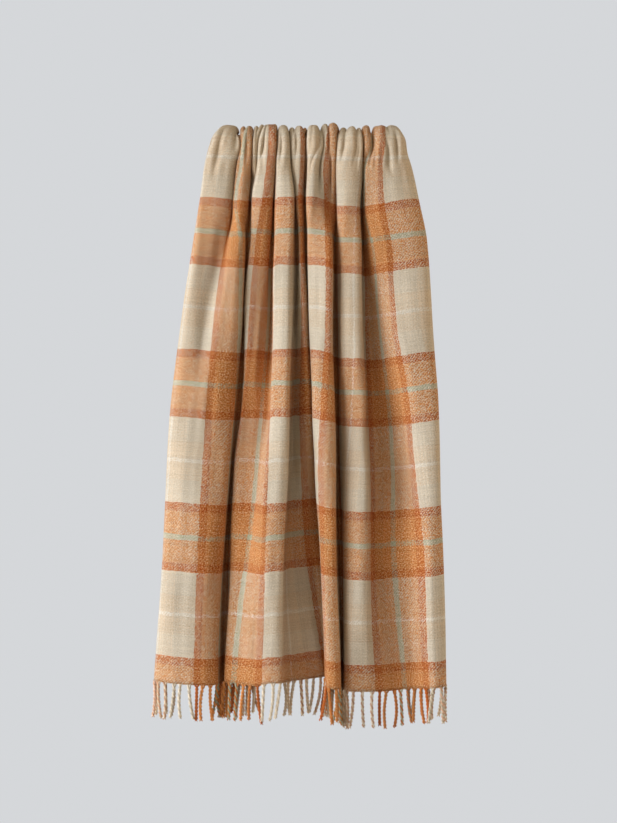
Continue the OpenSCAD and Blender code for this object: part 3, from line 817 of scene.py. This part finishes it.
def tassel_wool():
    """Twisted warp yarn, in the colour of its own place in the check."""
    n = Nodes("twisted_tassel_wool")
    across, along = cloth_places(n)
    colour = n.sett(n.math("ADD", across, 2 * REPEAT - EDGE_W))
    place = n.combine(across, along)
    fibres = n.noise(place, 0.8, 4.0, 0.6)
    slow = n.noise(place, 0.04, 2.0)
    # Every ply has its own shade, and some have rust fibres spun in.
    # The step is finer than the 7 mm between a tassel's two plies, so that they differ.
    number = n.math("FLOOR", n.math("MULTIPLY_ADD", across, 1 / PLY_STEP, 0.2))
    own, second = n.white(n.combine(number, 5.0)), n.white(n.combine(number, 17.0))
    rusty = n.math("MULTIPLY", n.math("GREATER_THAN", second, 0.72), 0.45)
    colour = n.mix(rusty, colour, (*YARNS["rust"], 1))
    light = n.math("ADD", n.math("MULTIPLY", fibres, 0.5), n.math("MULTIPLY_ADD", own, 0.45, 0.4))
    light = n.math("ADD", light, n.math("MULTIPLY", slow, 0.25))
    colour = n.mix(1.0, colour, n.combine(light, light, light), "MULTIPLY")
    roughness = n.math("ADD", n.math("MULTIPLY", fibres, 0.2), 0.76)
    finish_wool(n, colour, roughness, 0.12)
    bump = n.add("ShaderNodeBump")
    bump.inputs["Strength"].default_value = 0.7
    bump.inputs["Distance"].default_value = 0.0004
    n.link(fibres, bump.inputs["Height"])
    n.link(bump.outputs[0], n.shader.inputs["Normal"])
    return n.material


wool, yarn = woven_wool(), tassel_wool()
for obj in (front_sheet, back_sheet):
    obj.data.materials.append(wool)
for obj in front_tassels + back_tassels:
    obj.data.materials.append(yarn)

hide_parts("front_drop", "rung_fold")
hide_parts("back_drop")
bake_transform(front_sheet)
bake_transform(back_sheet)

# ---------------------------------------------------------------- stage, light, camera

FLOOR_Z, FLOOR_R = -1.6, 2.4
VIEW_CENTRE = (0.002, -0.05, -0.424)
VIEW_HEIGHT = 1.296  # metres of the throw's plane from the top of the frame to the bottom
VIEW_DISTANCE = 3.2


def plain(name, colour, roughness):
    n = Nodes(name)
    grain = n.noise(n.add("ShaderNodeTexCoord").outputs["Object"], 6.0, 3.0)
    light = n.math("ADD", n.math("MULTIPLY", grain, 0.04), 0.98)
    n.link(n.mix(1.0, (*colour, 1), n.combine(light, light, light), "MULTIPLY"),
           n.shader.inputs["Base Color"])
    n.shader.inputs["Roughness"].default_value = roughness
    return n.material


bpy.ops.mesh.primitive_circle_add(vertices=96, radius=FLOOR_R, fill_type="NGON", location=(0, 0, FLOOR_Z))
floor = bpy.context.object
floor.name = "floor"
floor.data.materials.append(plain("pale_floor", (0.72, 0.72, 0.73), 0.7))


def area_light(name, at, aim, size, power, colour):
    data = bpy.data.lights.new(name, "AREA")
    data.shape, data.size, data.energy, data.color = "DISK", size, power, colour
    lamp = bpy.data.objects.new(name, data)
    lamp.location = at
    way = [a - b for a, b in zip(aim, at)]
    lamp.rotation_euler = Vector(way).to_track_quat("-Z", "Y").to_euler()
    bpy.context.scene.collection.objects.link(lamp)


area_light("window", (-1.6, -0.95, -0.3), (0, 0, -0.45), 1.4, 44, (0.95, 0.985, 1.03))
area_light("right_wall", (2.1, -0.15, -0.2), (0, 0, -0.45), 1.2, 17, (1.0, 0.86, 0.70))
area_light("ceiling", (-0.45, -0.9, 1.2), (0, 0, 0), 1.2, 5, (1.0, 0.90, 0.76))
area_light("back_fill", (-1.4, 2.9, 0.8), (0, 0, -0.45), 2.2, 30, (1.0, 0.99, 0.98))

# The camera sees a pale wall all round; the light that it sends onto the throw is dimmer.
world = bpy.data.worlds.new("pale_room")
bpy.context.scene.world = world
world.use_nodes = True
room = world.node_tree
seen, soft = room.nodes["Background"], room.nodes.new("ShaderNodeBackground")
ray, pick = room.nodes.new("ShaderNodeLightPath"), room.nodes.new("ShaderNodeMixShader")
seen.inputs["Color"].default_value = (0.665, 0.68, 0.70, 1)
soft.inputs["Color"].default_value = (0.315, 0.25, 0.175, 1)
room.links.new(ray.outputs["Is Camera Ray"], pick.inputs[0])
room.links.new(soft.outputs[0], pick.inputs[1])
room.links.new(seen.outputs[0], pick.inputs[2])
room.links.new(pick.outputs[0], room.nodes["World Output"].inputs["Surface"])
bpy.context.scene.view_settings.view_transform = "Standard"

camera_data = bpy.data.cameras.new("camera")
camera_data.sensor_width = 36
camera_data.lens = camera_data.sensor_width * VIEW_DISTANCE / VIEW_HEIGHT
camera = bpy.data.objects.new("camera", camera_data)
camera.location = (VIEW_CENTRE[0], VIEW_CENTRE[1] - VIEW_DISTANCE, VIEW_CENTRE[2])
camera.rotation_euler = (math.pi / 2, 0, 0)
bpy.context.scene.collection.objects.link(camera)
bpy.context.scene.camera = camera
